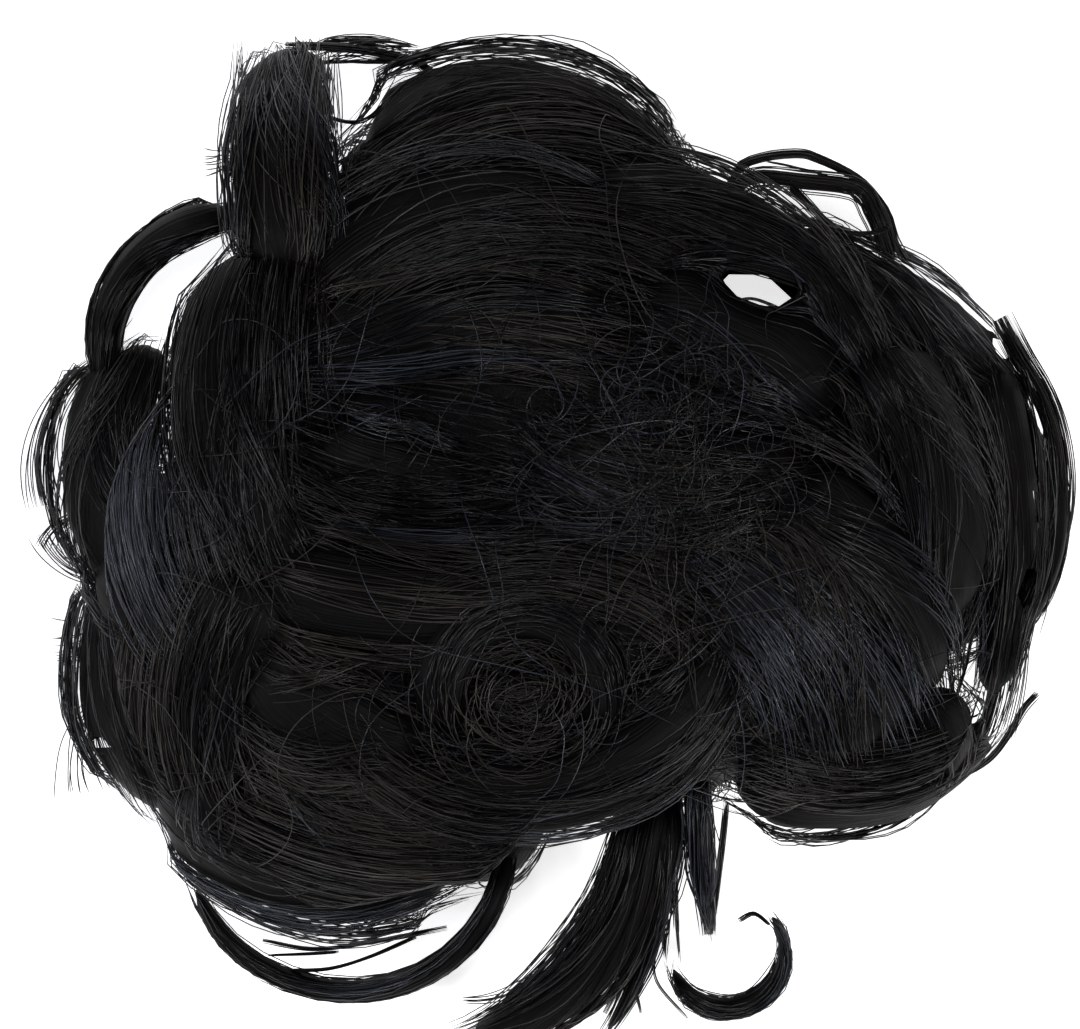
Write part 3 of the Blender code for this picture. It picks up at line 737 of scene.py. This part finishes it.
def swirlFibres():
    count, steps = swirlRings["count"], drawn["sections"]
    radius = random.uniform(swirlRings["inner"], swirlRings["outer"], (count, 1))
    sweep = np.minimum(random.uniform(14, 30, (count, 1)) / radius, 2.6)
    turn = random.uniform(0, 2 * math.pi, (count, 1)) + sweep * np.linspace(0, 1, steps)
    radius = radius + waver(count, steps, 0.6) * 0.7 + 1.5 * np.linspace(0, 1, steps)
    middle = np.array((swirlRings["x"], swirlRings["y"])) * bun["radius"]
    middle = middle + random.normal(0, swirlRings["drift"], (count, 1, 2))
    plan = middle + np.stack([radius * np.cos(turn), radius * np.sin(turn) * 0.92], -1)
    dome = 1 - 0.5 * (radius / swirlRings["outer"]) ** 2
    height = crownHeight(plan / bun["radius"]) + swirlRings["lift"] * dome + random.uniform(-1, 1, (count, 1))
    fibreTubes("swirl_fibres", np.dstack([plan, height]), drawn["fibreThickness"],
               swirlRings["tone"] + random.normal(0, 0.15, count))


print("sheaf fibres:", sheafFibres())
swirlFibres()

# Strands that stand on their own. Heights and widths are in mm, points are shares of the bun's radius
strandColumns = "high0 high1 width count points".split()
strandTable = [
    # loops over the upper right, and what crosses them
    (40, 34, 1.5, 26, [(0.33, 0.65), (0.351, 0.691), (0.402, 0.710), (0.462, 0.716), (0.496, 0.708),
                       (0.556, 0.681), (0.596, 0.652), (0.632, 0.604), (0.649, 0.553), (0.672, 0.516)]),
    (41, 35, 2.8, 70, [(0.33, 0.64), (0.379, 0.671), (0.469, 0.666), (0.573, 0.652), (0.607, 0.604),
                       (0.625, 0.564), (0.642, 0.514)]),
    (40, 37, 1.2, 16, [(0.44, 0.66), (0.480, 0.620), (0.515, 0.585), (0.56, 0.55)]),
    (39, 37, 0.7, 8, [(0.48, 0.575), (0.519, 0.566), (0.607, 0.566), (0.64, 0.58)]),
    (40, 38, 0.5, 5, [(0.40, 0.70), (0.45, 0.69), (0.53, 0.665), (0.60, 0.60)]),
    # over the gap between the curls
    (50, 50, 0.4, 5, [(0.32, 0.42), (0.36, 0.435), (0.40, 0.425), (0.45, 0.40)]),
    (51, 50, 2.1, 40, [(0.27, 0.52), (0.31, 0.508), (0.38, 0.495), (0.44, 0.478), (0.50, 0.455)]),
    # from the ear's top
    (24, 22, 1.3, 24, [(-0.52, 0.935), (-0.42, 0.932), (-0.34, 0.922), (-0.27, 0.905), (-0.22, 0.87)]),
    (26, 30, 0.7, 8, [(-0.45, 0.80), (-0.40, 0.785), (-0.36, 0.79), (-0.31, 0.83)]),
    # across the bottom loop
    (13, 17, 0.8, 11, [(-0.57, -0.80), (-0.47, -0.815), (-0.36, -0.80), (-0.21, -0.77)]),
    (12, 16, 0.8, 11, [(-0.53, -0.86), (-0.44, -0.855), (-0.36, -0.83), (-0.27, -0.79)]),
    (12, 15, 0.5, 5, [(-0.56, -0.83), (-0.48, -0.825), (-0.42, -0.82)]),
    # beside the tail
    (26, 7, 1.1, 16, [(0.18, -0.60), (0.18, -0.72), (0.155, -0.80), (0.105, -0.86), (0.044, -0.942)]),
    (24, 6, 0.9, 12, [(0.20, -0.62), (0.205, -0.74), (0.18, -0.80), (0.148, -0.85), (0.098, -0.95)]),
    (22, 6, 0.6, 7, [(0.20, -0.66), (0.19, -0.78), (0.16, -0.87), (0.172, -0.95)]),
    (20, 6, 0.5, 6, [(0.205, -0.70), (0.20, -0.80), (0.20, -0.88), (0.262, -0.96)]),
    (30, 12, 1.8, 26, [(0.265, -0.52), (0.275, -0.60), (0.285, -0.68), (0.300, -0.79)]),
    (30, 12, 1.3, 16, [(0.330, -0.52), (0.322, -0.62), (0.315, -0.70), (0.305, -0.79)]),
    (12, 9, 0.7, 9, [(0.42, -0.77), (0.39, -0.75), (0.36, -0.765)]),
    # the right edge and its flick
    (22, 14, 3.2, 90, [(0.86, 0.41), (0.90, 0.335), (0.94, 0.27), (0.967, 0.20), (0.98, 0.13), (0.982, 0.06),
                       (0.97, -0.01), (0.94, -0.07), (0.905, -0.15), (0.89, -0.24)]),
    (18, 10, 2.4, 44, [(0.87, -0.18), (0.862, -0.28), (0.84, -0.38), (0.80, -0.46)]),
    (10, 9, 1.1, 18, [(0.78, -0.49), (0.85, -0.45), (0.89, -0.40), (0.92, -0.35), (0.947, -0.320)]),
]

# Ragged tips, along plain arcs
tipColumns = "x0 y0 x1 y1 bow high0 high1 count spread".split()
tipTable = [
    (-0.90, 0.32, -0.99, 0.05, -0.16, 22, 12, 30, 2.2),
    (-0.88, 0.02, -0.99, -0.04, -0.20, 16, 10, 10, 2.0),
    (-0.84, -0.08, -0.99, 0.00, 0.20, 18, 10, 14, 2.6),
    (-0.84, -0.14, -0.98, -0.24, 0.12, 18, 9, 12, 2.4),
    (-0.90, -0.34, -0.93, -0.52, -0.10, 18, 8, 10, 2.2),
    (-0.60, 0.74, -0.68, 0.70, 0.10, 24, 18, 8, 1.6),
    (0.90, -0.10, 0.87, -0.40, 0.06, 20, 14, 12, 1.0),
    (-0.18, -0.92, -0.02, -0.86, -0.10, 10, 14, 6, 1.0),
]


def strandPaths(plan, high0, high1, count, spread, parting):
    # fibres round one line, parting from it towards their tips by the share given
    s = np.linspace(0, 1, len(plan))
    base = np.column_stack([plan * bun["radius"], high0 + (high1 - high0) * s])
    side = unit(np.cross(unit(np.gradient(base, axis=0)), (0, 0, 1.0)))
    away = random.normal(0, spread, (count, 2))
    opening = 1 + parting * s
    path = base + side * (away[:, :1] * opening + waver(count, len(plan), 0.8) * spread * 0.5)[..., None]
    path[..., 2] += away[:, 1:] * opening + waver(count, len(plan), 0.8) * spread * 0.4
    return path


def strandInsides():
    forms = []
    for row in strandTable:
        strand = dict(zip(strandColumns, row))
        if strand["width"] < 1.0:
            continue
        s = np.linspace(0, 1, drawn["strandSections"])
        plan = curveThrough(strand["points"], drawn["strandSections"]) * bun["radius"]
        spine = np.column_stack([plan, strand["high0"] + (strand["high1"] - strand["high0"]) * s])
        size = strand["width"] * 0.72 * (0.15 + 0.85 * smooth(np.minimum(s, 1 - s) / 0.16))
        forms.append(formFrom(spine, np.broadcast_to((0, 0, 1.0), spine.shape), size, size * 0.8))
    spines, sides, ups, wides, thicks = (np.array([form[key] for form in forms])
                                         for key in ("spine", "side", "up", "wide", "thick"))
    rings = sectionsAround(spines, wides, thicks, sides, ups, 8)
    lie = rings.reshape(-1, 3) * (1, 1, 0.2)
    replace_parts(skin("strand_bodies", rings, packedFibre, lie=lie), "hair_bun")


def looseFibres():
    paths = []
    for row in strandTable:
        strand = dict(zip(strandColumns, row))
        plan = curveThrough(strand["points"], drawn["strandSections"])
        paths.append(strandPaths(plan, strand["high0"], strand["high1"], strand["count"],
                                 strand["width"] / 4, 0.2))
    for row in tipTable:
        tips = dict(zip(tipColumns, row))
        s = np.linspace(0, 1, drawn["strandSections"])
        plan = arcPlan(tips["x0"], tips["y0"], tips["x1"], tips["y1"], tips["bow"], s)
        paths.append(strandPaths(plan, tips["high0"], tips["high1"], tips["count"],
                                 tips["spread"] * 0.3, 2.0))
    paths = np.concatenate(paths)
    fibreTubes("loose_fibres", paths, drawn["fibreThickness"], random.uniform(0.2, 0.8, len(paths)),
               parted=False)
    return len(paths)


strandInsides()
print("loose fibres:", looseFibres())

# Fine flyaway fibres over the crown, and the tangle right of the middle
flyaway = dict(count=170, shortest=14.0, longest=60.0, curl=2.2, lowest=5.5, highest=9.0)
tangle = dict(count=190, x=0.24, y=0.13, size=0.20, shortest=10.0, longest=30.0, curl=4.5)


def curlyFibres(name, start, heading, length, turn, low, high):
    count, steps = len(start), 24
    s = np.linspace(0, 1, steps)
    way = heading[:, None] + turn[:, None] * s + waver(count, steps, 1.5) * 0.25
    stride = (length / steps)[:, None]
    east, north = np.cumsum(np.cos(way) * stride, 1), np.cumsum(np.sin(way) * stride, 1)
    plan = start[:, None] + np.stack([east, north], -1)
    reach = domeReach(np.arctan2(plan[..., 1], plan[..., 0])) * 1.06
    plan = plan / np.maximum(np.hypot(plan[..., 0], plan[..., 1]) / reach, 1)[..., None]
    lift = low + (high - low) * random.uniform(0, 1, (count, 1)) * np.sin(math.pi * s)
    height = crownHeight(plan / bun["radius"]) + lift
    fibreTubes(name, np.dstack([plan, height]), drawn["fineThickness"], random.uniform(0, 1, count))


def flyaways():
    count = flyaway["count"]
    angle = random.uniform(0, 2 * math.pi, count)
    radius = domeReach(angle) * np.sqrt(random.uniform(0.02, 0.95, count))
    start = np.column_stack([radius * np.cos(angle), radius * np.sin(angle)])
    curlyFibres("flyaway_fibres", start, random.uniform(0, 2 * math.pi, count),
                random.uniform(flyaway["shortest"], flyaway["longest"], count),
                random.normal(0, flyaway["curl"], count), flyaway["lowest"], flyaway["highest"])
    count = tangle["count"]
    start = np.array((tangle["x"], tangle["y"])) + random.normal(0, tangle["size"] / 2, (count, 2))
    start = start * bun["radius"]
    curlyFibres("tangle_fibres", start, random.uniform(0, 2 * math.pi, count),
                random.uniform(tangle["shortest"], tangle["longest"], count),
                random.normal(0, tangle["curl"], count), flyaway["lowest"], flyaway["highest"])


flyaways()
print("flyaways and tangle:", flyaway["count"] + tangle["count"])

# The dome behind the locks, hollow below for the wearer's own bun
core = dict(sides=180, inset=1.5, under=4.0, rim=12.0, seatGap=0.3, hollowStep=1.0, roof=30.0)


def hairCore():
    angle = 2 * math.pi * np.arange(core["sides"]) / core["sides"]
    out = np.column_stack([np.cos(angle), np.sin(angle)])
    reach = (domeReach(angle) - core["inset"])[:, None]
    rings = []
    for share in (0.04, 0.12, 0.2, 0.3, 0.4, 0.5, 0.6, 0.65, 0.7, 0.74, 0.78, 0.82, 0.86, 0.9, 0.94, 0.97, 0.99, 1.0):
        plan = out * reach * share
        top = crownHeight(plan / bun["radius"]) - core["inset"]
        rounding = math.sqrt(1 - share**5)
        rings.append(np.column_stack([plan, core["rim"] + (top - core["rim"]) * rounding]))
    weftTop = weftHigh.z / mm
    seat = weftOuter + core["seatGap"]
    hollow = (ringHigh.x - ringLow.x) / 2 / mm + core["hollowStep"]
    for share in (0.98, 0.95, 0.91, 0.87, 0.83, 0.79, 0.75, 0.7):
        rounding = math.sqrt(1 - share**5)
        height = core["rim"] + (core["under"] - core["rim"]) * rounding
        rings.append(np.column_stack([out * reach * share, np.full(len(out), height)]))
    ledge = weftTop + core["seatGap"]
    inside = [(seat, core["under"]), (seat, ledge), (hollow, ledge), (hollow, core["roof"] - 3),
              (hollow - 3, core["roof"]), (hollow * 0.5, core["roof"] + 1), (hollow * 0.1, core["roof"] + 1.5)]
    for radius, height in inside:
        rings.append(np.column_stack([out * radius, np.full(len(out), height)]))
    rings = np.array(rings)[None]
    lie = np.stack([rings[0][..., 0], rings[0][..., 1], rings[0][..., 2] * 3], -1)
    piece = skin("hair_core", rings, packedFibre, lie=lie.reshape(-1, 3), parted=True)
    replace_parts(piece, "hair_bun")
    return hollow


hollowRadius = hairCore()


# Fibres that line the hollow
def liningFibres(count=160):
    steps = drawn["sections"]
    s = np.linspace(0, 1, steps)
    near = random.uniform(0, 2 * math.pi, count)
    across = near + random.uniform(1.2, 3.0, count)
    rimRadius = hollowRadius - 0.6
    start = np.column_stack([np.cos(near), np.sin(near)]) * rimRadius
    end = np.column_stack([np.cos(across), np.sin(across)]) * rimRadius
    plan = start[:, None] * (1 - s)[:, None] + end[:, None] * s[:, None]
    climb = smooth(np.minimum(s, 1 - s) / 0.22)
    low = weftHigh.z / mm + 1
    height = low + (core["roof"] - 1.0 - low) * climb + random.uniform(-1, 0, (count, 1))
    fibreTubes("lining_fibres", np.dstack([plan, height]), drawn["fibreThickness"],
               random.uniform(0.2, 0.8, count))


liningFibres()
print("dome and hollow made")

# The sewn ring, the elastic and their stitches
sewn = dict(rows=3, ridge=0.5, steps=240, threadThickness=0.45, stitches=60)


def turnedRing(name, profile, steps, material, node, ripple=0.0, ripples=0):
    # profile is (radius, height) points going up the outer side
    angle = 2 * math.pi * np.arange(steps) / steps
    profile = np.array(profile, float)
    centre = profile.mean(0)
    swell = 1 + ripple * np.cos(ripples * angle)
    points = centre + (profile - centre) * swell[:, None, None]
    rings = np.stack([points[..., 0] * np.cos(angle)[:, None], points[..., 0] * np.sin(angle)[:, None],
                      np.maximum(points[..., 1], 0)], -1)[None]
    lie = np.broadcast_to(rings[0], rings[0].shape).reshape(-1, 3)
    piece = skin(name, rings, material, closed=True, lie=lie)
    if node:
        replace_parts(piece, node)
    return piece


weftInner = (ringHigh.x - ringLow.x) / 2 / mm + 0.3
weftHeight = weftHigh.z / mm


def weftProfile():
    # flat below with a groove between the sewn rows, rounded above
    width = weftOuter - weftInner
    points = []
    for step in range(19):
        share = step / 18
        dip = sewn["ridge"] * (0.5 - 0.5 * math.cos(2 * math.pi * sewn["rows"] * share))
        dip = 0 if step in (0, 18) else sewn["ridge"] - dip
        points.append((weftInner + width * share, dip * 0.8))
    points += [(weftOuter, weftHeight * 0.35), (weftOuter, weftHeight * 0.7)]
    points += [(weftOuter - width * 0.22, weftHeight), (weftInner + width * 0.22, weftHeight)]
    points += [(weftInner, weftHeight * 0.7), (weftInner, weftHeight * 0.35)]
    return points


turnedRing("weft_ring_sewn", weftProfile(), sewn["steps"], weftCloth, "weft_ring")

elastic = dict(width=5.5, ribs=150, ripple=0.035)


def elasticProfile():
    outer, inner = weftInner - 0.3, weftInner - 0.3 - elastic["width"]
    middle, half = (outer + inner) / 2, (ringHigh.z - ringLow.z) / 2 / mm
    points = []
    for step in range(20):
        turn = 2 * math.pi * step / 20
        points.append((middle + (outer - inner) / 2 * math.cos(turn),
                       ringLow.z / mm + half * (1 + math.sin(turn))))
    return points


turnedRing("elastic_band_knitted", elasticProfile(), elastic["ribs"] * 4, elasticCover,
           "elastic_band", ripple=elastic["ripple"], ripples=elastic["ribs"])


def stitchRing(name, innerRadius, outerRadius, innerHeight, outerHeight):
    steps = sewn["stitches"] * 8
    angle = 2 * math.pi * np.arange(steps) / steps
    zigzag = np.abs(((np.arange(steps) / 8) % 1) * 2 - 1)
    radius = innerRadius + (outerRadius - innerRadius) * zigzag
    height = innerHeight + (outerHeight - innerHeight) * zigzag
    path = np.column_stack([radius * np.cos(angle), radius * np.sin(angle), height])
    ahead = unit(np.roll(path, -1, 0) - np.roll(path, 1, 0))
    side = unit(np.cross(ahead, (0, 0, 1.0)))
    up = np.cross(side, ahead)
    size = np.full((1, steps), sewn["threadThickness"])
    rings = sectionsAround(path[None], size, size, side[None], up[None], 6)
    skin(name, rings, threadCover, closed=True)


stitchRing("edge_stitches", weftInner - 1.6, weftInner + 1.4, 1.5, 0.45)
stitchRing("row_stitches", weftInner + 3.2, weftInner + 4.6, 0.55, 0.55)
stitchRing("outer_stitches", weftOuter - 2.6, weftOuter - 1.0, 0.5, 0.5)
print("ring, elastic and stitches made")

# Floor, light and camera
studio = dict(
    photoWidth=1080,  # px
    photoHeight=1029,
    bunMiddlePx=(555.0, 530.5),  # where the ring's centre lies in the photo
    mmPerPx=0.16858,
    cameraDistance=900.0,
    focusHeight=30.0,  # the height at which the scale holds
    floorSize=6.0,
    tableGlow=0.76,
)


def stageAndCamera():
    mesh = bpy.data.meshes.new("floor")
    half = studio["floorSize"] / 2
    corners = [(-half, -half, 0), (half, -half, 0), (half, half, 0), (-half, half, 0)]
    mesh.from_pydata(corners, [], [(0, 1, 2, 3)])
    floor = bpy.data.objects.new("floor", mesh)
    floor.location.z = cadBox[0][2] - 0.0002
    # an opal light table: the photo's ground is white even down in the gaps of the hair
    material, tree, shader = newMaterial("opal_light_table")
    shader.inputs["Base Color"].default_value = hexColour("#f4f4f4")
    shader.inputs["Emission Color"].default_value = hexColour("#ffffff")
    shader.inputs["Emission Strength"].default_value = studio["tableGlow"]
    shader.inputs["Roughness"].default_value = 0.9
    shader.inputs["Specular IOR Level"].default_value = 0.1
    mesh.materials.append(material)
    bpy.context.scene.collection.objects.link(floor)

    offset = np.array((studio["photoWidth"] / 2 - studio["bunMiddlePx"][0],
                       studio["bunMiddlePx"][1] - studio["photoHeight"] / 2)) * studio["mmPerPx"]
    camera = bpy.data.objects.new("camera", bpy.data.cameras.new("camera"))
    camera.location = ((ringCentre[0] + offset[0]) * mm, (ringCentre[1] + offset[1]) * mm,
                       (studio["focusHeight"] + studio["cameraDistance"]) * mm)
    camera.data.sensor_width = 36
    camera.data.lens = 36 * studio["cameraDistance"] / (studio["photoWidth"] * studio["mmPerPx"])
    camera.data.clip_start = 0.01
    bpy.context.scene.collection.objects.link(camera)
    bpy.context.scene.camera = camera


def areaLight(name, place, size, power, colour):
    light = bpy.data.lights.new(name, "AREA")
    light.shape = "DISK"
    light.size = size
    light.energy = power
    light.color = hexColour(colour)[:3]
    lamp = bpy.data.objects.new(name, light)
    lamp.location = place
    direction = lamp.location.copy()
    lamp.rotation_euler = direction.to_track_quat("Z", "Y").to_euler()
    bpy.context.scene.collection.objects.link(lamp)


stageAndCamera()
areaLight("key", (0.75, -0.75, 1.1), 0.35, 14, "#ffffff")
areaLight("top", (-0.1, 0.25, 1.6), 0.40, 10, "#fbfcff")
areaLight("left", (-1.1, -0.1, 0.7), 0.35, 6.5, "#f4f7ff")
world = bpy.data.worlds.new("studio")
bpy.context.scene.world = world
world.use_nodes = True
world.node_tree.nodes["Background"].inputs["Color"].default_value = (1, 1, 1, 1)
world.node_tree.nodes["Background"].inputs["Strength"].default_value = 0.03
bpy.context.scene.view_settings.view_transform = "Standard"
print("floor, light and camera made")
